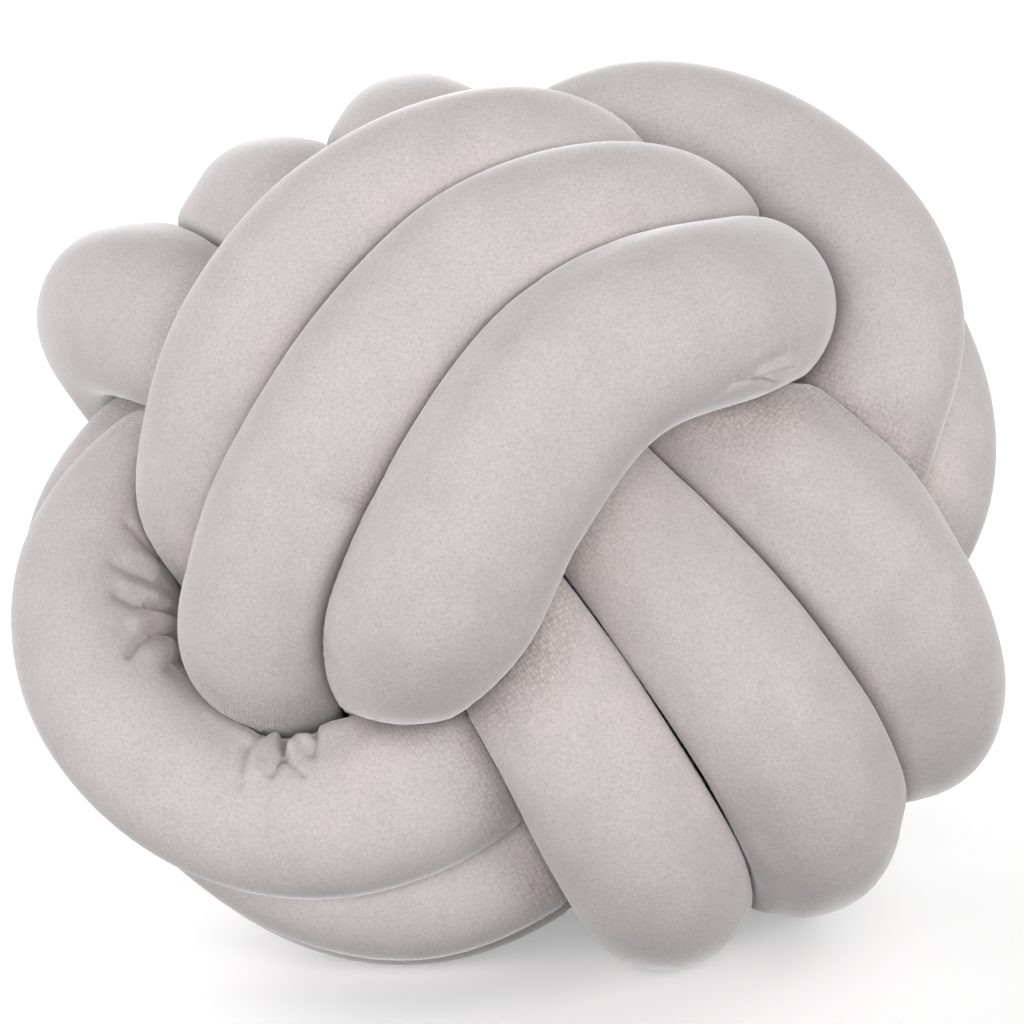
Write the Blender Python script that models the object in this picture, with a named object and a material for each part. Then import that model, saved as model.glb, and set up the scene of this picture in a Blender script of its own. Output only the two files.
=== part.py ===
"""Knot cushion: one long stuffed tube wound and tucked into a ball, three turns in each of three bands.

Standalone Blender script, in metres, +Z up.  The ball rests on its flattened underside at z = 0, and the
origin is the middle of its footprint there.  All sizes in the tables are millimetres in the ball's own
axes; ATTITUDE and BALL_CENTRE place the finished ball in the world.
"""

from collections import namedtuple
from math import radians

import bmesh
import bpy
import numpy as np
from mathutils import Euler

MM = 0.001

# Driving dimensions, in millimetres.
TUBE_RADIUS = 24.5          # the stuffed tube where nothing presses on it
TUCKED_RADIUS = 17.0        # where it runs under another band and is squeezed
FULL_AT = 50.0              # distance along a turn, from its tucked middle, at which the tube is full again
PASS_GAP = 1.6              # clearance kept between two passes of the tube
RING_STEP = 15.7            # spacing of the cross-sections along the tube
RING_SIDES = 12
SAME_STRETCH = 70.0         # passes closer than this along the tube are one stretch, not neighbours
NEIGHBOUR_REACH = 64.0      # no centre line further off than this can press on the tube
FOLD_SHARE = 0.88           # how much of a bend's own radius its inner side may fill
BLEND_POWER = 14            # how sharply the free round and the pressed flats meet
LEAST_RADIUS = 4.0          # the tube is never squeezed thinner than this
END_ROUND = 20.0            # length over which the two tucked ends round off
END_BLUNT = 0.15            # share of that length at which an end is closed off flat
TUCK_PULL = 0.3             # how far a turn's shoulder is drawn towards the place of its tucked pass

ATTITUDE = Euler([radians(a) for a in (-141, -38, -99)], "XYZ")
BALL_CENTRE = (1.9, 7.3, 123.2)

# The bands.  A turn reaches furthest along its long axis, dives under another band along its cross axis,
# and lies beside the band's other turns along its stack axis.  "starts" is the cross side where the first
# turn sets off and "way" the long side it heads for.  The shoulders are the corners of the rounded turn,
# as shares of its reach and depth; "drift" shifts the tucked passes along the long axis, on the + and the
# - cross side; "pitch" is the spacing of the passes on the starting side, where the turns change lanes.
Band = namedtuple("Band", "axes lanes starts way shoulder_long shoulder_cross drift_plus drift_minus pitch")
BANDS = {
    "A": Band((0, 1, 2), (1, 0, -1), -1, -1, 0.81, 0.76, 13, 14, 25),
    "C": Band((2, 0, 1), (-1, 0, 1), -1, 1, 0.75, 0.85, -5, 2, 29),
    "B": Band((1, 2, 0), (-1, 0, 1), 1, -1, 0.78, 0.84, -2, 4, 25),
}

# Each pass over a face: how far its crown stands out, its place across the band, how far the crown leans
# along the turn, and how far the shoulders on the + and - cross sides fan out.
Over = namedtuple("Over", "band side lane reach place lean fan_plus fan_minus")
OVER = [
    Over("A", 1, -1, 105, -42, 4, 7, 7),
    Over("A", 1, 0, 113, -5, -13, 12, 6),
    Over("A", 1, 1, 124, 42, -16, 15, 1),
    Over("A", -1, -1, 109, -42, 7, 0, 5),
    Over("A", -1, 0, 113, -4, -4, -5, 2),
    Over("A", -1, 1, 106, 47, 2, 2, 0),
    Over("B", 1, -1, 109, -45, -6, 4, 0),
    Over("B", 1, 0, 117, 9, -12, 0, 5),
    Over("B", 1, 1, 126, 46, 5, -2, 2),
    Over("B", -1, -1, 109, -39, 0, 1, 4),
    Over("B", -1, 0, 112, 2, -11, 0, 0),
    Over("B", -1, 1, 110, 44, 24, 0, 2),
    Over("C", 1, -1, 118, -50, -3, -6, 0),
    Over("C", 1, 0, 126, -5, -4, 0, 0),
    Over("C", 1, 1, 114, 40, 3, 0, -7),
    Over("C", -1, -1, 98, -41, -22, 1, 7),
    Over("C", -1, 0, 107, 2, 0, 1, 2),
    Over("C", -1, 1, 115, 50, 4, 3, 0),
]

# Each pass tucked under another band: how deep it lies from the centre, and its place across the band.
Under = namedtuple("Under", "band side lane depth place")
UNDER = [
    Under("A", 1, -1, 73, -26),
    Under("A", 1, 0, 87, 11),
    Under("A", 1, 1, 58, 25),
    Under("A", -1, -1, 69, -28),
    Under("A", -1, 0, 79, 4),
    Under("A", -1, 1, 78, 34),
    Under("B", 1, -1, 69, -31),
    Under("B", 1, 0, 84, 1),
    Under("B", 1, 1, 70, 33),
    Under("B", -1, -1, 69, -27),
    Under("B", -1, 0, 75, 5),
    Under("B", -1, 1, 52, 26),
    Under("C", 1, -1, 61, -33),
    Under("C", 1, 0, 65, -2),
    Under("C", 1, 1, 63, 29),
    Under("C", -1, -1, 68, -31),
    Under("C", -1, 0, 74, 1),
    Under("C", -1, 1, 65, 31),
]

# The tube's route before, between and after the bands, in ball axes: from its tucked start to band A,
# through the core to bands C and B, and back into the core.
LEAD_IN = [(28, 9, 13), (34, -30, 25), (-19, -65, 33)]
A_TO_C = [(28, -53, -27), (-28, -39, -37), (-50, -38, -8)]
C_TO_B = [(-58, 37, -32), (-25, 35, -11), (-26, -17, 52)]
LEAD_OUT = [(30, 7, 59), (9, -14, 33), (-3, -21, -8)]

# Where the tube is drawn in (-) or swells (+): a place on its centre line, the change in its radius there,
# and the length over which it fades.
Girth = namedtuple("Girth", "near change length")
GIRTHS = [
    Girth((45, 116, 32), -3.0, 32),     # the low outer turn, pressed by the ends of the front turns
    Girth((60, 80, 12), 2.0, 20),       # the lower end of the middle front turn
    Girth((85, 50, 46), 3.0, 20),       # the lower end of the last front turn
    Girth((-45, 105, -15), 2.0, 36),    # the turn that the ball lies on, where nothing beside it holds it in
]


def in_ball_axes(band, long, cross, stack):
    """A point given along a band's own axes, as a point in the ball's axes."""
    point = [0.0, 0.0, 0.0]
    for axis, value in zip(band.axes, (long, cross, stack)):
        point[axis] = value
    return tuple(point)


def band_route(name):
    """The points that the three turns of one band pass through, without its way in and out."""
    band = BANDS[name]
    over = {(row.side, row.lane): row for row in OVER if row.band == name}
    under = {(row.side, row.lane): row for row in UNDER if row.band == name}
    drift = {1: band.drift_plus, -1: band.drift_minus}
    points = []

    def cross_face(side, lane, comes_from):
        row = over[side, lane]
        for cross_side in (comes_from, 0, -comes_from):
            if cross_side == 0:
                points.append(in_ball_axes(band, side * row.reach, row.lean, row.place))
                continue
            tuck = under[cross_side, lane]
            fan = row.fan_plus if cross_side > 0 else row.fan_minus
            points.append(in_ball_axes(
                band,
                side * row.reach * band.shoulder_long,
                cross_side * tuck.depth * band.shoulder_cross,
                row.place + TUCK_PULL * (tuck.place - row.place) + fan,
            ))

    for turn, lane in enumerate(band.lanes):
        cross_face(band.way, lane, band.starts)
        tuck = under[-band.starts, lane]
        points.append(in_ball_axes(band, drift[-band.starts], -band.starts * tuck.depth, tuck.place))
        cross_face(-band.way, lane, -band.starts)
        if turn + 1 < len(band.lanes):
            following = band.lanes[turn + 1]
            depth = (under[band.starts, lane].depth + under[band.starts, following].depth) / 2
            place = band.pitch * (lane + following) / 2
            points.append(in_ball_axes(band, drift[band.starts], band.starts * depth, place))
    return points


def tube_route():
    """All the points of the tube's centre line, with the long axis of the band each belongs to."""
    legs = [
        (LEAD_IN, "A"), (band_route("A"), "A"), (A_TO_C, "C"), (band_route("C"), "C"),
        (C_TO_B, "B"), (band_route("B"), "B"), (LEAD_OUT, "B"),
    ]
    points = np.array([point for leg, _ in legs for point in leg], float)
    long_axes = np.array([BANDS[name].axes[0] for leg, name in legs for _ in leg])
    return points, long_axes


def natural_spline(knots, values, at):
    """A natural cubic spline through values at knots, read at the places asked for."""
    steps = np.diff(knots)
    count = len(knots)
    matrix = np.eye(count)
    right = np.zeros_like(values)
    for i in range(1, count - 1):
        matrix[i, i - 1:i + 2] = steps[i - 1], 2 * (steps[i - 1] + steps[i]), steps[i]
        right[i] = 6 * ((values[i + 1] - values[i]) / steps[i] - (values[i] - values[i - 1]) / steps[i - 1])
    bends = np.linalg.solve(matrix, right)
    i = np.clip(np.searchsorted(knots, at, side="right") - 1, 0, count - 2)
    step = steps[i][:, None]
    before = (knots[i + 1] - at)[:, None]
    after = (at - knots[i])[:, None]
    return (
        (bends[i] * before**3 + bends[i + 1] * after**3) / (6 * step)
        + (values[i] / step - bends[i] * step / 6) * before
        + (values[i + 1] / step - bends[i + 1] * step / 6) * after
    )


def centre_line(step):
    """Evenly spaced points on the tube's centre line, and each one's long axis."""
    points, long_axes = tube_route()
    chords = np.linalg.norm(np.diff(points, axis=0), axis=1)
    knots = np.concatenate([[0.0], np.cumsum(np.sqrt(chords))])
    fine = np.linspace(0, knots[-1], 100 * len(points))
    lengths = np.linalg.norm(np.diff(natural_spline(knots, points, fine), axis=0), axis=1)
    travelled = np.concatenate([[0.0], np.cumsum(lengths)])
    count = int(travelled[-1] / step) + 1
    at = np.interp(np.linspace(0, travelled[-1], count), travelled, fine)
    leg = np.clip(np.searchsorted(knots, at, side="right") - 1, 0, len(points) - 1)
    return natural_spline(knots, points, at), long_axes[leg]


def ring_directions(line, sides):
    """Unit directions from each centre-line point to its ring's corners, turning as little as they can."""
    tangents = np.gradient(line, axis=0)
    tangents /= np.linalg.norm(tangents, axis=1)[:, None]
    normals = np.zeros_like(line)
    normal = np.array([0.0, 0.0, 1.0])
    for i, tangent in enumerate(tangents):
        normal = normal - normal.dot(tangent) * tangent
        normal /= np.linalg.norm(normal)
        normals[i] = normal
    binormals = np.cross(tangents, normals)
    angles = np.arange(sides) * 2 * np.pi / sides
    directions = (
        normals[:, None] * np.cos(angles)[None, :, None]
        + binormals[:, None] * np.sin(angles)[None, :, None]
    )
    return tangents, directions


def free_radii(line, long_axes):
    """The radius that each stretch would have by itself: full on the faces, slim where it is tucked."""
    reach = np.abs(line[np.arange(len(line)), long_axes])
    share = np.clip(reach / FULL_AT, 0, 1)
    radii = TUCKED_RADIUS + (TUBE_RADIUS - TUCKED_RADIUS) * share**2 * (3 - 2 * share)
    for girth in GIRTHS:
        middle = np.argmin(np.linalg.norm(line - girth.near, axis=1))
        apart = (np.arange(len(line)) - middle) * RING_STEP
        radii += girth.change * np.exp(-(apart / girth.length)**2)
    padded = np.pad(radii, 1, mode="edge")
    return (padded[:-2] + padded[1:-1] + padded[2:]) / 3


def ring_radii(line, tangents, directions, radii, step):
    """How far each ring corner stands from the centre line, once neighbours and tight bends press on it."""
    curvature = np.gradient(tangents, axis=0) / step
    inward = np.einsum("ijk,ik->ij", directions, curvature)
    bend_limit = np.where(inward > 1e-6, FOLD_SHARE / np.maximum(inward, 1e-6), np.inf)
    pressed = (1 / radii[:, None])**BLEND_POWER + (1 / bend_limit)**BLEND_POWER
    order = np.arange(len(line))
    for i, centre in enumerate(line):
        apart = centre - line
        distance = np.linalg.norm(apart, axis=1)
        near = (np.abs(order - i) * step > SAME_STRETCH) & (distance < NEIGHBOUR_REACH)
        if not near.any():
            continue
        # The flat between two passes lies where both are equally short of their own free radius.
        apart, distance = apart[near], distance[near]
        room = distance**2 + radii[i]**2 - radii[near]**2 - PASS_GAP * distance
        toward = -apart @ directions[i].T
        limit = np.where(toward > 1e-3, room[:, None] / (2 * np.maximum(toward, 1e-3)), np.inf)
        pressed[i] += (1 / np.maximum(limit.min(axis=0), LEAST_RADIUS))**BLEND_POWER
    corners = pressed**(-1 / BLEND_POWER)
    travelled = order * step
    to_end = np.minimum(travelled, travelled[-1] - travelled) / END_ROUND
    rounding = np.sqrt(1 - (1 - np.clip(to_end, END_BLUNT, 1))**2)
    return corners * rounding[:, None]


def tube_object(name, material):
    """The whole tube as one closed mesh, laid in the world with its underside pressed flat."""
    line, long_axes = centre_line(RING_STEP)
    tangents, directions = ring_directions(line, RING_SIDES)
    step = np.linalg.norm(np.diff(line, axis=0), axis=1).mean()
    radii = ring_radii(line, tangents, directions, free_radii(line, long_axes), step)
    corners = line[:, None] + directions * radii[..., None]

    to_world = np.array(ATTITUDE.to_matrix())
    corners = (corners @ to_world.T + BALL_CENTRE) * MM
    corners[..., 2] = np.maximum(corners[..., 2], 0.0)
    ends = (line[[0, -1]] @ to_world.T + BALL_CENTRE) * MM

    shape = bmesh.new()
    rings = [[shape.verts.new(corner) for corner in ring] for ring in corners]
    for ring, following in zip(rings, rings[1:]):
        for side in range(RING_SIDES):
            turned = (side + 1) % RING_SIDES
            shape.faces.new((ring[side], ring[turned], following[turned], following[side]))
    for ring, end in ((rings[0], ends[0]), (rings[-1], ends[1])):
        tip = shape.verts.new(end)
        for side in range(RING_SIDES):
            shape.faces.new((ring[side], ring[(side + 1) % RING_SIDES], tip))
    bmesh.ops.triangulate(shape, faces=shape.faces)
    bmesh.ops.recalc_face_normals(shape, faces=shape.faces)
    mesh = bpy.data.meshes.new(name)
    shape.to_mesh(mesh)
    shape.free()
    mesh.materials.append(material)
    mesh.shade_smooth()
    return bpy.data.objects.new(name, mesh)


def velvet(name):
    """Short-pile velvet, warm pale grey."""
    material = bpy.data.materials.new(name)
    material.use_nodes = True
    shader = material.node_tree.nodes["Principled BSDF"]
    shader.inputs["Base Color"].default_value = (0.57, 0.52, 0.51, 1)
    shader.inputs["Roughness"].default_value = 0.9
    shader.inputs["Metallic"].default_value = 0.0
    return material


for leftover in list(bpy.data.objects):
    bpy.data.objects.remove(leftover)

cushion = bpy.data.collections.new("knot_cushion")
bpy.context.scene.collection.children.link(cushion)
cushion.objects.link(tube_object("knotted_tube", velvet("velvet_fabric")))
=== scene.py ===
from collections import namedtuple
from math import radians

import bmesh
import bpy
import numpy as np
from mathutils import Euler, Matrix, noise


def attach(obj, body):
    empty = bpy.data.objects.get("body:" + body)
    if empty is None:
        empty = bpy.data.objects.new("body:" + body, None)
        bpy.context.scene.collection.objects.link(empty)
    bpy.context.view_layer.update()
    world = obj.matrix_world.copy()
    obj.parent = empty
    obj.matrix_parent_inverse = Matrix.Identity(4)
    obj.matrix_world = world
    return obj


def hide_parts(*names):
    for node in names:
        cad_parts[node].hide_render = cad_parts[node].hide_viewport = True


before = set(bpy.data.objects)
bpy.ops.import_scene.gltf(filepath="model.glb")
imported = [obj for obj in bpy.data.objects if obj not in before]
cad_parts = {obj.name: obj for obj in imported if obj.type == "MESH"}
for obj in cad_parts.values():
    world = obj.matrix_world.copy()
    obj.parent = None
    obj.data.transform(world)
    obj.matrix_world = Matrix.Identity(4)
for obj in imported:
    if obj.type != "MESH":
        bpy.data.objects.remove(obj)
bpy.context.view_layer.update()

# ---------------------------------------------------------------------------------------------------------
# The knotted tube.  One long sleeve of short-pile velvet, stuffed with fibre along its whole length, is
# wound three times round in each of three crossing bands and drawn tight into a ball.  Each pass swells
# where it is free and goes flat where it lies against its neighbours; both ends are tucked into the core.
# ---------------------------------------------------------------------------------------------------------

MM = 0.001

# Sizes in millimetres.
TUBE_RADIUS = 24.5          # the stuffed tube where nothing presses on it
TUCKED_RADIUS = 17.0        # where it runs under another band and is squeezed
FULL_AT = 50.0              # distance along a turn, from its tucked middle, at which the tube is full again
PASS_GAP = 0.9              # clearance kept between two passes of the tube
RING_STEP = 3.0             # spacing of the cross-sections along the tube
RING_SIDES = 76
SAME_STRETCH = 70.0         # passes closer than this along the tube are one stretch, not neighbours
NEIGHBOUR_REACH = 64.0      # no centre line further off than this can press on the tube
UNDER_REACH = 22.0          # the cloth is drawn out this far from a pass that it comes out from under
FOLD_SHARE = 0.88           # how much of a bend's own radius its inner side may fill
BLEND_POWER = 20            # how sharply the free round and the pressed flats meet
GAP_CLOSED = 3.0            # a gap to a pass beside the tube is closed by the stuffing up to this width
GAP_LEFT = 8.0              # and left as it is at this width
LEAST_RADIUS = 4.0          # the tube is never squeezed thinner than this
GIRTH_SPREAD = 16.0         # a change in the tube's radius is spread over this distance each way
CROSSING = 0.75             # two passes cross where their directions have less than this in common
OVER_BY = 4.0               # a crossing pass lies over the tube if it is this much farther out
END_ROUND = 20.0            # length over which the two tucked ends round off
END_BLUNT = 0.05            # share of that length at which an end is closed off flat
TUCK_PULL = 0.3             # how far a turn's shoulder is drawn towards the place of its tucked pass

ATTITUDE = Euler([radians(a) for a in (-141, -38, -99)], "XYZ")
BALL_CENTRE = (1.9, 7.3, 123.2)

# The bands.  A turn reaches furthest along its long axis, dives under another band along its cross axis,
# and lies beside the band's other turns along its stack axis.  "starts" is the cross side where the first
# turn sets off and "way" the long side it heads for.  The shoulders are the corners of the rounded turn,
# as shares of its reach and depth; "drift" shifts the tucked passes along the long axis, on the + and the
# - cross side; "pitch" is the spacing of the passes on the starting side, where the turns change lanes.
Band = namedtuple("Band", "axes lanes starts way shoulder_long shoulder_cross drift_plus drift_minus pitch")
BANDS = {
    "A": Band((0, 1, 2), (1, 0, -1), -1, -1, 0.81, 0.76, 13, 14, 25),
    "C": Band((2, 0, 1), (-1, 0, 1), -1, 1, 0.75, 0.85, -5, 2, 29),
    "B": Band((1, 2, 0), (-1, 0, 1), 1, -1, 0.78, 0.84, -2, 4, 25),
}

# Each pass over a face: how far its crown stands out, its place across the band, how far the crown leans
# along the turn, and how far the shoulders on the + and - cross sides fan out.
Over = namedtuple("Over", "band side lane reach place lean fan_plus fan_minus")
OVER = [
    Over("A", 1, -1, 105, -42, 4, 7, 7),
    Over("A", 1, 0, 113, -5, -13, 12, 6),
    Over("A", 1, 1, 124, 42, -16, 15, 1),
    Over("A", -1, -1, 109, -42, 7, 0, 5),
    Over("A", -1, 0, 113, -4, -4, -5, 2),
    Over("A", -1, 1, 106, 47, 2, 2, 0),
    Over("B", 1, -1, 109, -45, -6, 4, 0),
    Over("B", 1, 0, 117, 9, -12, 0, 5),
    Over("B", 1, 1, 126, 46, 5, -2, 2),
    Over("B", -1, -1, 109, -39, 0, 1, 4),
    Over("B", -1, 0, 112, 2, -11, 0, 0),
    Over("B", -1, 1, 110, 44, 24, 0, 2),
    Over("C", 1, -1, 118, -50, -3, -6, 0),
    Over("C", 1, 0, 126, -5, -4, 0, 0),
    Over("C", 1, 1, 114, 40, 3, 0, -7),
    Over("C", -1, -1, 98, -41, -22, 1, 7),
    Over("C", -1, 0, 107, 2, 0, 1, 2),
    Over("C", -1, 1, 115, 50, 4, 3, 0),
]

# Each pass tucked under another band: how deep it lies from the centre, and its place across the band.
Under = namedtuple("Under", "band side lane depth place")
UNDER = [
    Under("A", 1, -1, 73, -26),
    Under("A", 1, 0, 87, 11),
    Under("A", 1, 1, 58, 25),
    Under("A", -1, -1, 69, -28),
    Under("A", -1, 0, 79, 4),
    Under("A", -1, 1, 78, 34),
    Under("B", 1, -1, 69, -31),
    Under("B", 1, 0, 84, 1),
    Under("B", 1, 1, 70, 33),
    Under("B", -1, -1, 69, -27),
    Under("B", -1, 0, 75, 5),
    Under("B", -1, 1, 52, 26),
    Under("C", 1, -1, 61, -33),
    Under("C", 1, 0, 65, -2),
    Under("C", 1, 1, 63, 29),
    Under("C", -1, -1, 68, -31),
    Under("C", -1, 0, 74, 1),
    Under("C", -1, 1, 65, 31),
]

# The tube's route before, between and after the bands, in ball axes: from its tucked start to band A,
# through the core to bands C and B, and back into the core.
LEAD_IN = [(28, 9, 13), (34, -30, 25), (-19, -65, 33)]
A_TO_C = [(28, -53, -27), (-28, -39, -37), (-50, -38, -8)]
C_TO_B = [(-58, 37, -32), (-25, 35, -11), (-26, -17, 52)]
LEAD_OUT = [(30, 7, 59), (9, -14, 33), (-3, -21, -8)]

# Where the tube is drawn in (-) or swells (+): a place on its centre line, the change in its radius there,
# and the length over which it fades.
Girth = namedtuple("Girth", "near change length")
GIRTHS = [
    Girth((45, 116, 32), -3.0, 32),     # the low outer turn, pressed by the ends of the front turns
    Girth((60, 80, 12), 2.0, 20),       # the lower end of the middle front turn
    Girth((85, 50, 46), 3.0, 20),       # the lower end of the last front turn
    Girth((-45, 105, -15), 2.0, 36),    # the turn that the ball lies on, where nothing beside it holds it in
]


def in_ball_axes(band, long, cross, stack):
    """A point given along a band's own axes, as a point in the ball's axes."""
    point = [0.0, 0.0, 0.0]
    for axis, value in zip(band.axes, (long, cross, stack)):
        point[axis] = value
    return tuple(point)


def band_route(name):
    """The points that the three turns of one band pass through, without its way in and out."""
    band = BANDS[name]
    over = {(row.side, row.lane): row for row in OVER if row.band == name}
    under = {(row.side, row.lane): row for row in UNDER if row.band == name}
    drift = {1: band.drift_plus, -1: band.drift_minus}
    points = []

    def cross_face(side, lane, comes_from):
        row = over[side, lane]
        for cross_side in (comes_from, 0, -comes_from):
            if cross_side == 0:
                points.append(in_ball_axes(band, side * row.reach, row.lean, row.place))
                continue
            tuck = under[cross_side, lane]
            fan = row.fan_plus if cross_side > 0 else row.fan_minus
            points.append(in_ball_axes(
                band,
                side * row.reach * band.shoulder_long,
                cross_side * tuck.depth * band.shoulder_cross,
                row.place + TUCK_PULL * (tuck.place - row.place) + fan,
            ))

    for turn, lane in enumerate(band.lanes):
        cross_face(band.way, lane, band.starts)
        tuck = under[-band.starts, lane]
        points.append(in_ball_axes(band, drift[-band.starts], -band.starts * tuck.depth, tuck.place))
        cross_face(-band.way, lane, -band.starts)
        if turn + 1 < len(band.lanes):
            following = band.lanes[turn + 1]
            depth = (under[band.starts, lane].depth + under[band.starts, following].depth) / 2
            place = band.pitch * (lane + following) / 2
            points.append(in_ball_axes(band, drift[band.starts], band.starts * depth, place))
    return points


def tube_route():
    """All the points of the tube's centre line, with the long axis of the band each belongs to."""
    legs = [
        (LEAD_IN, "A"), (band_route("A"), "A"), (A_TO_C, "C"), (band_route("C"), "C"),
        (C_TO_B, "B"), (band_route("B"), "B"), (LEAD_OUT, "B"),
    ]
    points = np.array([point for leg, _ in legs for point in leg], float)
    long_axes = np.array([BANDS[name].axes[0] for leg, name in legs for _ in leg])
    return points, long_axes


def natural_spline(knots, values, at):
    """A natural cubic spline through values at knots, read at the places asked for."""
    steps = np.diff(knots)
    count = len(knots)
    matrix = np.eye(count)
    right = np.zeros_like(values)
    for i in range(1, count - 1):
        matrix[i, i - 1:i + 2] = steps[i - 1], 2 * (steps[i - 1] + steps[i]), steps[i]
        right[i] = 6 * ((values[i + 1] - values[i]) / steps[i] - (values[i] - values[i - 1]) / steps[i - 1])
    bends = np.linalg.solve(matrix, right)
    i = np.clip(np.searchsorted(knots, at, side="right") - 1, 0, count - 2)
    step = steps[i][:, None]
    before = (knots[i + 1] - at)[:, None]
    after = (at - knots[i])[:, None]
    return (
        (bends[i] * before**3 + bends[i + 1] * after**3) / (6 * step)
        + (values[i] / step - bends[i] * step / 6) * before
        + (values[i + 1] / step - bends[i + 1] * step / 6) * after
    )


def centre_line(step):
    """Evenly spaced points on the tube's centre line, and each one's long axis."""
    points, long_axes = tube_route()
    chords = np.linalg.norm(np.diff(points, axis=0), axis=1)
    knots = np.concatenate([[0.0], np.cumsum(np.sqrt(chords))])
    fine = np.linspace(0, knots[-1], 100 * len(points))
    lengths = np.linalg.norm(np.diff(natural_spline(knots, points, fine), axis=0), axis=1)
    travelled = np.concatenate([[0.0], np.cumsum(lengths)])
    count = int(travelled[-1] / step) + 1
    at = np.interp(np.linspace(0, travelled[-1], count), travelled, fine)
    leg = np.clip(np.searchsorted(knots, at, side="right") - 1, 0, len(points) - 1)
    return natural_spline(knots, points, at), long_axes[leg]


def ring_directions(line, sides):
    """Unit directions from each centre-line point to its ring's corners, turning as little as they can."""
    tangents = np.gradient(line, axis=0)
    tangents /= np.linalg.norm(tangents, axis=1)[:, None]
    normals = np.zeros_like(line)
    normal = np.array([0.0, 0.0, 1.0])
    for i, tangent in enumerate(tangents):
        normal = normal - normal.dot(tangent) * tangent
        normal /= np.linalg.norm(normal)
        normals[i] = normal
    binormals = np.cross(tangents, normals)
    angles = np.arange(sides) * 2 * np.pi / sides
    directions = (
        normals[:, None] * np.cos(angles)[None, :, None]
        + binormals[:, None] * np.sin(angles)[None, :, None]
    )
    return tangents, directions


def free_radii(line, long_axes):
    """The radius that each stretch would have by itself: full on the faces, slim where it is tucked."""
    reach = np.abs(line[np.arange(len(line)), long_axes])
    share = np.clip(reach / FULL_AT, 0, 1)
    radii = TUCKED_RADIUS + (TUBE_RADIUS - TUCKED_RADIUS) * share**2 * (3 - 2 * share)
    for girth in GIRTHS:
        middle = np.argmin(np.linalg.norm(line - girth.near, axis=1))
        apart = (np.arange(len(line)) - middle) * RING_STEP
        radii += girth.change * np.exp(-(apart / girth.length)**2)
    spread = int(GIRTH_SPREAD / RING_STEP)
    padded = np.pad(radii, spread, mode="edge")
    return np.convolve(padded, np.ones(2 * spread + 1) / (2 * spread + 1), mode="valid")


def ease(share):
    """A smooth step from 0 to 1 as the share goes from 0 to 1."""
    share = np.clip(share, 0, 1)
    return share**2 * (3 - 2 * share)


def ring_radii(line, tangents, directions, radii, step):
    """How far each ring corner stands from the centre line, once neighbours and tight bends press on it.

    Also tells where the tube comes out from under a crossing pass: from 0 to 1, right beside it.
    """
    curvature = np.gradient(tangents, axis=0) / step
    inward = np.einsum("ijk,ik->ij", directions, curvature)
    bend_limit = np.where(inward > 1e-6, FOLD_SHARE / np.maximum(inward, 1e-6), np.inf)
    pressed = (1 / radii[:, None])**BLEND_POWER + (1 / bend_limit)**BLEND_POWER
    from_under = np.zeros_like(pressed)
    order = np.arange(len(line))
    outwards = np.linalg.norm(line, axis=1)
    for i, centre in enumerate(line):
        apart = centre - line
        distance = np.linalg.norm(apart, axis=1)
        near = (np.abs(order - i) * step > SAME_STRETCH) & (distance < NEIGHBOUR_REACH)
        if not near.any():
            continue
        # The flat between two passes lies where both are equally short of their own free radius.
        apart, distance = apart[near], distance[near]
        room = distance**2 + radii[i]**2 - radii[near]**2 - PASS_GAP * distance
        toward = -apart @ directions[i].T
        limit = np.where(toward > 1e-3, room[:, None] / (2 * np.maximum(toward, 1e-3)), np.inf)
        # The stuffing swells a little towards a pass that lies beside the tube without quite touching it.
        gap = room / (2 * distance) - radii[i]
        beside = np.abs(tangents[near] @ tangents[i])
        closes = ease((GAP_LEFT - gap) / (GAP_LEFT - GAP_CLOSED))
        swell = 2 * np.clip(gap, 0, GAP_CLOSED) * closes * ease(beside)
        facing = ease((toward / distance[:, None] - 0.4) / 0.5)
        free = radii[i] + (swell[:, None] * facing).max(axis=0)
        pressed[i] = (1 / free)**BLEND_POWER + (1 / bend_limit[i])**BLEND_POWER
        pressed[i] += (1 / np.maximum(limit.min(axis=0), LEAST_RADIUS))**BLEND_POWER
        crossing = (beside < CROSSING) & (outwards[near] > outwards[i] + OVER_BY)
        if crossing.any():
            skin = centre + directions[i] * radii[i]
            reach = np.linalg.norm(skin[:, None] - line[near][crossing], axis=2) - radii[near][crossing]
            from_under[i] = ease(1 - reach.min(axis=1) / UNDER_REACH)
    corners = pressed**(-1 / BLEND_POWER)
    travelled = order * step
    to_end = np.minimum(travelled, travelled[-1] - travelled) / END_ROUND
    rounding = np.sqrt(1 - (1 - np.clip(to_end, END_BLUNT, 1))**2)
    return corners * rounding[:, None], from_under


line, long_axes = centre_line(RING_STEP)
tangents, directions = ring_directions(line, RING_SIDES)
ring_step = np.linalg.norm(np.diff(line, axis=0), axis=1).mean()
radii, from_under = ring_radii(line, tangents, directions, free_radii(line, long_axes), ring_step)
corners = line[:, None] + directions * radii[..., None]

# The fibre lies unevenly inside, which shows as soft lumps where nothing presses on the cloth.
LUMP_HEIGHT = 0.7
LUMP_SIZE = 34.0
lumps = np.array([noise.noise(point / LUMP_SIZE) for point in corners.reshape(-1, 3)]).reshape(radii.shape)
at_rest = free_radii(line, long_axes)[:, None]
corners += directions * (LUMP_HEIGHT * lumps * ease((radii / at_rest - 0.85) / 0.13))[..., None]

to_world = np.array(ATTITUDE.to_matrix())
corners = (corners @ to_world.T + BALL_CENTRE) * MM
# The underside settles flat on whatever it lies on, with a soft edge to each flat.
SETTLE = 0.002
height = corners[..., 2]
corners[..., 2] = np.where(
    height > SETTLE, height, np.where(height < -SETTLE, 0.0, (height + SETTLE)**2 / (4 * SETTLE)),
)

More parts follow.
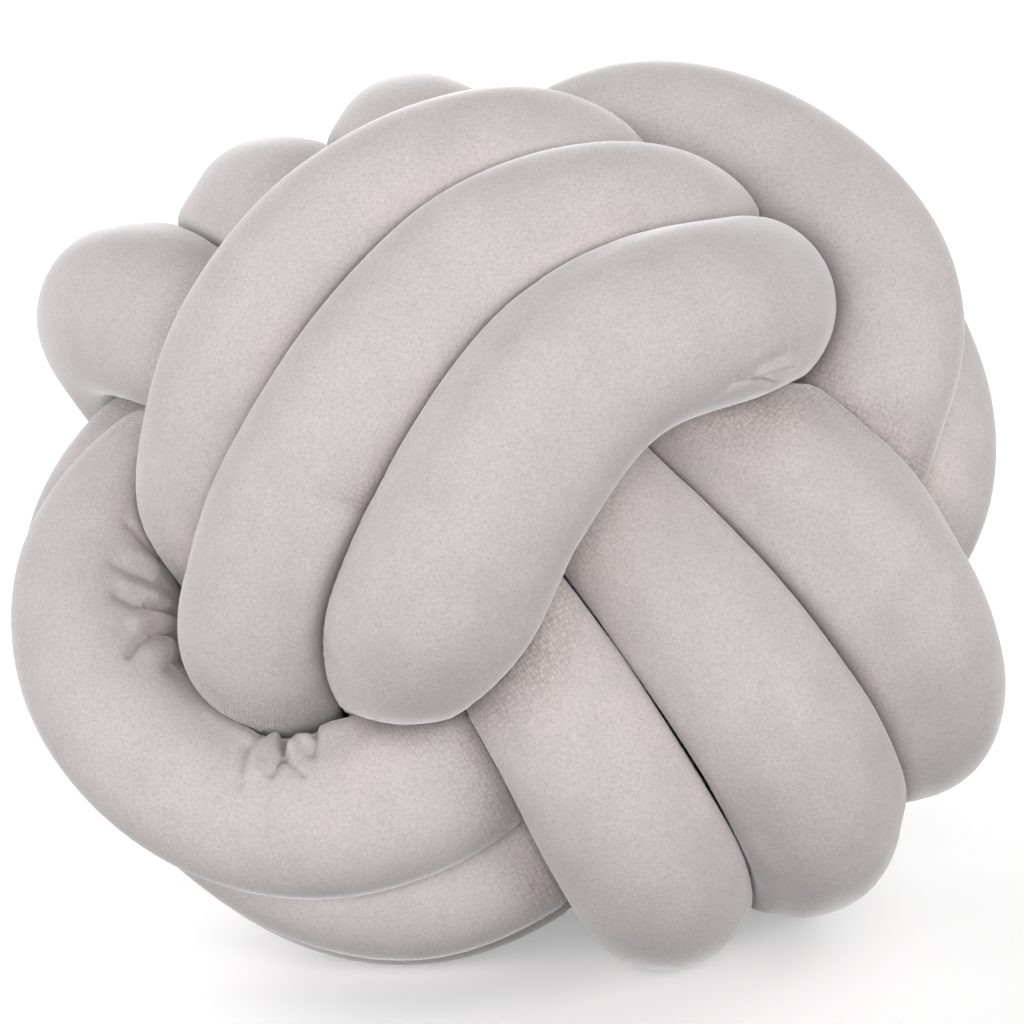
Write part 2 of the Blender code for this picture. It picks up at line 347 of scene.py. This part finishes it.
# Only the skin that shows is meshed at every corner; inside the ball every second one is enough.
SHOWN_FROM = 91 * MM        # distance from the ball's centre at which skin begins to show
FACING_IN = -0.35           # skin that faces the centre more squarely than this doesn't show
shown = np.linalg.norm(corners - np.array(BALL_CENTRE) * MM, axis=2) > SHOWN_FROM
shown &= np.einsum("ijk,ik->ij", directions, line) / np.linalg.norm(line, axis=1)[:, None] > FACING_IN
count = (len(corners) - 1) // 2 * 2 + 1
shown = shown[:count]
block_shown = np.zeros((count // 2, RING_SIDES // 2), bool)
for ring_offset in (0, 1, 2):
    for side_offset in (0, 1, 2):
        block_shown |= np.roll(shown, -side_offset, axis=1)[ring_offset:count - 2 + ring_offset:2, ::2]
block_shown[[0, -1]] = False

faces = []
for i, j in np.ndindex(*block_shown.shape):
    ring, side = 2 * i, 2 * j
    if block_shown[i, j]:
        for r, s in ((ring, side), (ring, side + 1), (ring + 1, side), (ring + 1, side + 1)):
            faces.append([(r, s), (r, s + 1), (r + 1, s + 1), (r + 1, s)])
        continue
    # A coarse face takes in the middle corner of each edge that it shares with fine ones.
    rim = [
        (True, (ring, side)), (i > 0 and block_shown[i - 1, j], (ring, side + 1)),
        (True, (ring, side + 2)), (block_shown[i, (j + 1) % len(block_shown[0])], (ring + 1, side + 2)),
        (True, (ring + 2, side + 2)),
        (i + 1 < len(block_shown) and block_shown[i + 1, j], (ring + 2, side + 1)),
        (True, (ring + 2, side)), (block_shown[i, j - 1], (ring + 1, side)),
    ]
    faces.append([corner for wanted, corner in rim if wanted])
faces.append([(0, s) for s in range(0, RING_SIDES, 2)][::-1])
faces.append([(count - 1, s) for s in range(0, RING_SIDES, 2)])

spots = np.array([corner for face in faces for corner in face])
flat = spots[:, 0] * RING_SIDES + spots[:, 1] % RING_SIDES
used, numbered = np.unique(flat, return_inverse=True)
starts = np.cumsum([0] + [len(face) for face in faces])
polygons = [numbered[start:end].tolist() for start, end in zip(starts, starts[1:])]
mesh = bpy.data.meshes.new("velvet_tube")
mesh.from_pydata(corners.reshape(-1, 3)[used].tolist(), [], polygons)
mesh.shade_smooth()

# The cloth's own coordinates, in metres: along the tube, and around it.
ALONG_STEP = ring_step * MM
AROUND_STEP = 2 * np.pi * TUBE_RADIUS / RING_SIDES * MM
cloth = mesh.uv_layers.new(name="cloth")
cloth.data.foreach_set("uv", (spots * (ALONG_STEP, AROUND_STEP)).reshape(-1))

# How far the cloth is drawn out where it comes out from under another pass, and how deep it lies in a groove;
# both also set painted shade.
drawn = mesh.attributes.new("drawn_out_and_shade", "FLOAT", "POINT")
drawn.data.foreach_set("value", from_under.reshape(-1)[used].astype(np.float32))
groove_shade = mesh.attributes.new("groove_shade", "FLOAT", "POINT")
groove_shade.data.foreach_set("value", ease((0.99 - radii / at_rest) / 0.12).reshape(-1)[used].astype(np.float32))

# Where a neighbour pinches the tube its skin gathers.  Each row is one ridge (height over 0) or crease, drawn
# over the cloth along a line of places, in millimetres along and around the tube; "sharp" is 2 for a rounded
# profile and less for a crisper one.  The places move if the length of the tube's route is changed.
Fold = namedtuple("Fold", "height width sharp line")
FOLDS = [
    # the pinch beside the lower end of the first front turn
    Fold(-2.9, 1.3, 1.4, [(5713.5, 17.5), (5710, 12.7), (5707.5, 7), (5706.5, 0), (5707, -4)]),
    Fold(2.2, 2.8, 2.0, [(5704.5, 12), (5701.5, 7), (5701, -1)]),
    Fold(-2.2, 1.8, 1.6, [(5694, 15.5), (5697, 10.5), (5698, 4), (5698, -3)]),
    Fold(1.6, 4.0, 2.0, [(5716, 10), (5713, 3)]),
    Fold(-1.7, 2.2, 1.6, [(5722, 8), (5719, 3), (5716, -4)]),
    Fold(1.2, 2.4, 2.0, [(5691, 13), (5692.5, 5), (5692.5, -1)]),
    Fold(-1.5, 1.6, 1.5, [(5684, 17), (5686, 11), (5686.5, 5), (5687, -1)]),
    Fold(0.8, 2.4, 2.0, [(5679, 13), (5680, 4)]),
    Fold(-1.1, 1.8, 1.6, [(5670, 16), (5673, 9), (5674, 2)]),
    Fold(-0.7, 1.8, 1.6, [(5660, 15), (5662, 8)]),
    # the pinch below the lower end of the middle front turn
    Fold(1.8, 5.0, 2.0, [(5728, 0), (5742, 4), (5757, 6)]),
    Fold(2.3, 2.2, 2.0, [(5766.5, 21), (5765.5, 15), (5767, 8.5), (5769, 4)]),
    Fold(-1.3, 1.8, 1.8, [(5761, 12), (5762.5, 18), (5764, 26)]),
    Fold(-3.8, 1.1, 1.6, [(5772.5, 3), (5773, 9), (5773.7, 14)]),
    Fold(-1.7, 0.9, 1.4, [(5773.7, 14), (5772.5, 17), (5771.5, 21)]),
    Fold(-1.4, 0.9, 1.4, [(5773.7, 14), (5777.5, 17), (5781, 21)]),
    Fold(2.3, 2.4, 2.0, [(5776.5, 10), (5779, 7), (5783, 8)]),
    Fold(-1.8, 1.4, 1.5, [(5786, 4), (5786, 9), (5784.5, 14)]),
    Fold(2.4, 4.5, 2.0, [(5790, 6), (5798, 7), (5808, 4)]),
    # the pinch at the upper right end of the last front turn
    Fold(-1.8, 1.1, 1.4, [(598.5, 146.5), (603.5, 148), (610, 150.5)]),
    Fold(-1.3, 1.1, 1.4, [(589, 149), (592, 146.5), (596.5, 146.5)]),
    Fold(-0.9, 1.2, 1.6, [(592, 146.5), (592, 142.5)]),
    Fold(1.0, 2.0, 2.0, [(599.5, 145), (604, 143.5), (612, 143.5)]),
    Fold(-0.7, 2.0, 2.0, [(599, 141.5), (606, 140.5)]),
    Fold(0.5, 3.0, 2.0, [(596, 139), (602, 136.5)]),
]
# Smaller gathers on the inner side of other bends, as (along, around).
for along, around in ((5377, 122), (1584, 30), (4201, 122), (2172, 6), (1140, 55), (3492, 6)):
    FOLDS += [
        Fold(-1.8, 1.5, 1.5, [(along - 7, around - 8), (along - 5, around), (along - 5, around + 6)]),
        Fold(1.3, 2.4, 2.0, [(along - 1, around - 6), (along, around + 5)]),
        Fold(-1.5, 1.4, 1.5, [(along + 4, around - 4), (along + 6, around + 3), (along + 9, around + 8)]),
        Fold(0.8, 2.4, 2.0, [(along + 10, around - 3), (along + 13, around + 4)]),
    ]
FOLD_REACH = 5.0            # the cloth is meshed finely within this distance of a fold
FOLD_CUTS = 2


def from_line(along, around, line):
    """The distance of places on the cloth from a line over it, in millimetres."""
    girth = 2 * np.pi * TUBE_RADIUS
    place = np.stack([along, around], axis=-1)
    best = np.full(len(place), np.inf)
    for start, end in zip(line, line[1:]):
        run = np.subtract(end, start)
        offset = place - start
        offset[:, 1] -= girth * np.round(offset[:, 1] / girth)
        share = np.clip(offset @ run / (run @ run), 0, 1)
        best = np.minimum(best, np.linalg.norm(offset - share[:, None] * run, axis=1))
    return best


def on_cloth(along, around):
    """The tube's smooth surface, in metres, at places in millimetres along and around it."""
    rings = along * MM / ALONG_STEP
    sides = around * MM / AROUND_STEP
    i = np.clip(np.floor(rings).astype(int), 1, len(corners) - 3)
    j = np.floor(sides).astype(int)

    def weights(t):
        return np.stack([
            -t + 2 * t**2 - t**3, 2 - 5 * t**2 + 3 * t**3, t + 4 * t**2 - 3 * t**3, -t**2 + t**3,
        ]) / 2

    across, round_it = weights(rings - i), weights(sides - j)
    return sum(
        (across[a] * round_it[b])[:, None] * corners[i + a - 1, (j + b - 1) % RING_SIDES]
        for a in range(4) for b in range(4)
    )


sculpt = bmesh.new()
sculpt.from_mesh(mesh)
cloth_layer = sculpt.loops.layers.uv["cloth"]
sculpt.faces.ensure_lookup_table()
middles = np.add.reduceat(spots * (ALONG_STEP, AROUND_STEP) / MM, starts[:-1]) / np.diff(starts)[:, None]
near_fold = np.full(len(middles), np.inf)
for fold in FOLDS:
    near_fold = np.minimum(near_fold, from_line(middles[:, 0], middles[:, 1], fold.line))
patch = [sculpt.faces[i] for i in np.flatnonzero(near_fold < FOLD_REACH)]
edges = list({edge for face in patch for edge in face.edges})
bmesh.ops.subdivide_edges(sculpt, edges=edges, cuts=FOLD_CUTS, use_grid_fill=True)
fine = list({vertex for face in patch if face.is_valid for vertex in face.verts}
            | {vertex for vertex in sculpt.verts if vertex.index >= len(used)})
along, around = np.array([vertex.link_loops[0][cloth_layer].uv[:] for vertex in fine]).T / MM
spot = on_cloth(along, around)
outward = np.cross(
    on_cloth(along, around + 1) - on_cloth(along, around - 1),
    on_cloth(along + 1, around) - on_cloth(along - 1, around),
)
outward /= np.linalg.norm(outward, axis=1)[:, None]
raised = sum(
    fold.height * np.exp(-(from_line(along, around, fold.line) / fold.width)**fold.sharp) for fold in FOLDS
)
for vertex, place in zip(fine, spot + outward * raised[:, None] * MM):
    vertex.co = place
sculpt.to_mesh(mesh)
sculpt.free()

tube = bpy.data.objects.new("velvet_tube", mesh)
bpy.context.scene.collection.objects.link(tube)


def linear(hex_colour):
    """An sRGB hex colour as linear red, green, blue and an alpha of 1."""
    channels = [int(hex_colour[i:i + 2], 16) / 255 for i in (0, 2, 4)]
    return [c / 12.92 if c <= 0.04045 else ((c + 0.055) / 1.055)**2.4 for c in channels] + [1.0]


def node(tree, kind, settings=None, **inputs):
    """Adds a node with its settings; each input is a value, or an output socket to link."""
    made = tree.nodes.new(kind)
    for name, value in (settings or {}).items():
        setattr(made, name, value)
    for name, value in inputs.items():
        socket = made.inputs[int(name[1:])] if name[1:].isdigit() else made.inputs[name]
        if isinstance(value, bpy.types.NodeSocket):
            tree.links.new(value, socket)
        else:
            socket.default_value = value
    return made


# Short-pile polyester velvet: no shine, but the pile catches the light where it is seen edge-on, so that the
# outlines are pale.  Its knitted backing grins through as rows where the cloth is drawn out.
KNIT_ROW = 1.25 * MM
KNIT_LOOP = 0.95 * MM
PILE_TUFT = 0.75 * MM       # real tufts are finer, and are drawn as coarse as they need to show
NAP_PATCH = 75 * MM
velvet = bpy.data.materials.new("short_pile_velvet")
velvet.use_nodes = True
tree = velvet.node_tree
shader = tree.nodes["Principled BSDF"]
shader.inputs["Roughness"].default_value = 0.95
shader.inputs["Specular IOR Level"].default_value = 0.1
shader.inputs["Sheen Weight"].default_value = 1.0
shader.inputs["Sheen Roughness"].default_value = 0.3
shader.inputs["Sheen Tint"].default_value = linear("F2F0F2")


place = node(tree, "ShaderNodeTexCoord").outputs["Object"]
weave = node(tree, "ShaderNodeUVMap", {"uv_map": "cloth"}).outputs["UV"]
drawn_out_and_shade = node(tree, "ShaderNodeAttribute", {"attribute_name": "drawn_out_and_shade"}).outputs["Fac"]
groove_shade_mask = node(tree, "ShaderNodeAttribute", {"attribute_name": "groove_shade"}).outputs["Fac"]
ticks_at = node(
    tree, "ShaderNodeMapping", Vector=weave, Rotation=(0, 0, radians(35)), Scale=(1.0, 2.6, 1.0),
)
loops_at = node(tree, "ShaderNodeMapping", Vector=weave, Scale=(1 / KNIT_ROW, 1 / KNIT_LOOP, 1.0))

# The unevenness of the pile: its coordinates, the size of its features in metres, and how broken up they are.
Grain = namedtuple("Grain", "at size detail roughness")
nap, brushed, tufts, ticks, patchy = (
    node(
        tree, "ShaderNodeTexNoise", Vector=grain.at, Scale=1 / grain.size, Detail=grain.detail,
        Roughness=grain.roughness,
    ).outputs["Fac"]
    for grain in (
        Grain(place, NAP_PATCH, 2.0, 0.6),
        Grain(place, NAP_PATCH / 5, 3.0, 0.6),
        Grain(place, PILE_TUFT, 2.0, 0.7),
        Grain(ticks_at.outputs["Vector"], 2.4 * PILE_TUFT, 1.0, 0.5),
        Grain(place, 18 * MM, 2.0, 0.6),
    )
)
loops = node(
    tree, "ShaderNodeTexVoronoi", {"feature": "F1"}, Vector=loops_at.outputs["Vector"], Scale=1.0,
    Randomness=0.45,
).outputs["Distance"]

# Where the cloth is drawn out its grain grows coarser and its knit shows, but not evenly.
coarser = node(tree, "ShaderNodeMapRange", Value=drawn_out_and_shade, i3=0.5, i4=0.75).outputs["Result"]
ticked = node(tree, "ShaderNodeMapRange", Value=drawn_out_and_shade, i3=0.12, i4=0.48).outputs["Result"]
uneven = node(tree, "ShaderNodeMapRange", Value=patchy, i1=0.35, i2=0.6, i3=0.4, i4=1.0).outputs["Result"]
knit_shows = node(tree, "ShaderNodeMath", {"operation": "MULTIPLY"}, i0=drawn_out_and_shade, i1=uneven).outputs["Value"]
knitted = node(tree, "ShaderNodeMath", {"operation": "MULTIPLY"}, i0=knit_shows, i1=0.8).outputs["Value"]

# The tones laid one over another: what each follows, from none of it at low to its full strength at high.
Tone = namedtuple("Tone", "follows low high strength colour")
tone = linear("CCC5C6")
for layer in (
    Tone(nap, 0.38, 0.62, 1.0, "D2CAC8"),
    Tone(brushed, 0.4, 0.7, 0.5, "C0BABC"),
    Tone(tufts, 0.42, 0.68, coarser, "ABA3A2"),
    Tone(ticks, 0.5, 0.8, ticked, "A89D9A"),
    Tone(loops, 0.25, 0.7, knitted, "9B8F8B"),
    # Painted shade: the cloth is coloured darker the deeper it lies in a groove between passes.
    Tone(groove_shade_mask, 0.0, 1.0, 0.20, "A39997"),
    # Painted shade: the cloth is coloured a little darker where it comes out from under a crossing pass.
    Tone(drawn_out_and_shade, 0.0, 1.0, 0.06, "9F9592"),
):
    share = node(
        tree, "ShaderNodeMapRange", Value=layer.follows, i1=layer.low, i2=layer.high, i4=layer.strength,
    ).outputs["Result"]
    tone = node(
        tree, "ShaderNodeMix", {"data_type": "RGBA"}, i0=share, i6=tone, i7=linear(layer.colour),
    ).outputs[2]
tree.links.new(tone, shader.inputs["Base Color"])

shown_loops = node(
    tree, "ShaderNodeMath", {"operation": "MULTIPLY"}, i0=loops, i1=knit_shows,
).outputs["Value"]
pile = node(tree, "ShaderNodeBump", Height=tufts, Strength=0.6, Distance=0.25 * MM)
rows = node(
    tree, "ShaderNodeBump", {"invert": True}, Height=shown_loops, Strength=0.8,
    Distance=0.5 * MM, Normal=pile.outputs["Normal"],
)
tree.links.new(rows.outputs["Normal"], shader.inputs["Normal"])
mesh.materials.append(velvet)

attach(tube, "root")
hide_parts("knotted_tube")

# ---------------------------------------------------------------------------------------------------------
# The floor, the light and the camera.
# ---------------------------------------------------------------------------------------------------------

bpy.ops.object.select_all(action="DESELECT")
bpy.ops.mesh.primitive_plane_add(size=12.0, location=(0, 2.0, 0))
floor = bpy.context.object
floor.name = "pale_floor"
paint = bpy.data.materials.new("matt_white_floor")
paint.use_nodes = True
tree = paint.node_tree
shader = tree.nodes["Principled BSDF"]
shader.inputs["Roughness"].default_value = 0.9
shader.inputs["Specular IOR Level"].default_value = 0.2
# The floor is seen white, but throws back less light than a white one and lights nothing itself, so that it
# doesn't flatten the ball.
seen = node(tree, "ShaderNodeLightPath").outputs["Is Camera Ray"]
tone = node(tree, "ShaderNodeMix", {"data_type": "RGBA"}, i0=seen, i6=linear("A0A0A0"), i7=linear("FAFAFA"))
tree.links.new(tone.outputs[2], shader.inputs["Base Color"])
shader.inputs["Emission Color"].default_value = linear("FFFFFF")
lifted = node(tree, "ShaderNodeMapRange", Value=seen, i3=0.0, i4=0.34)
tree.links.new(lifted.outputs["Result"], shader.inputs["Emission Strength"])
floor.data.materials.append(paint)

world = bpy.data.worlds.new("soft_white")
world.use_nodes = True
backdrop = world.node_tree.nodes["Background"]
backdrop.inputs["Color"].default_value = linear("FFFFFF")
seen = node(world.node_tree, "ShaderNodeLightPath").outputs["Is Camera Ray"]
glow = node(world.node_tree, "ShaderNodeMapRange", Value=seen, i3=0.02, i4=0.95)
world.node_tree.links.new(glow.outputs["Result"], backdrop.inputs["Strength"])
bpy.context.scene.world = world

# Large soft lights, far enough off to be even over the whole floor: the way each one comes from, as degrees
# round from the front and up from the floor, its strength, and how wide it looks from the ball.
Light = namedtuple("Light", "name around up strength width")
LIGHTS = [
    Light("low_left", -80, 0, 1.85, 36),
    Light("left", -95, 24, 0.30, 36),
    Light("front_left", -45, 12, 0.50, 36),
    Light("front", 0, 10, 1.90, 36),
    Light("front_right", 50, 16, 1.30, 36),
    Light("high_left", -120, 52, 0.60, 36),
    Light("high_right", 100, 50, 0.50, 36),
    Light("behind_left", -160, 16, 1.20, 36),
    Light("behind_right", 150, 16, 1.10, 36),
]
for light in LIGHTS:
    lamp = bpy.data.lights.new(light.name, "SUN")
    lamp.energy = light.strength
    lamp.angle = radians(light.width)
    holder = bpy.data.objects.new(light.name, lamp)
    holder.rotation_euler = [radians(90 - light.up), 0, radians(light.around)]
    bpy.context.scene.collection.objects.link(holder)

camera_data = bpy.data.cameras.new("camera")
camera_data.lens = 199.0
camera_data.sensor_width = 36.0
camera_data.clip_start = 0.1
camera = bpy.data.objects.new("camera", camera_data)
camera.location = (-0.0085, -1.5512, 0.4869)
camera.rotation_euler = [radians(a) for a in (76.7, 5.2, -1.6)]
bpy.context.scene.collection.objects.link(camera)
bpy.context.scene.camera = camera
bpy.context.scene.view_settings.view_transform = "Standard"
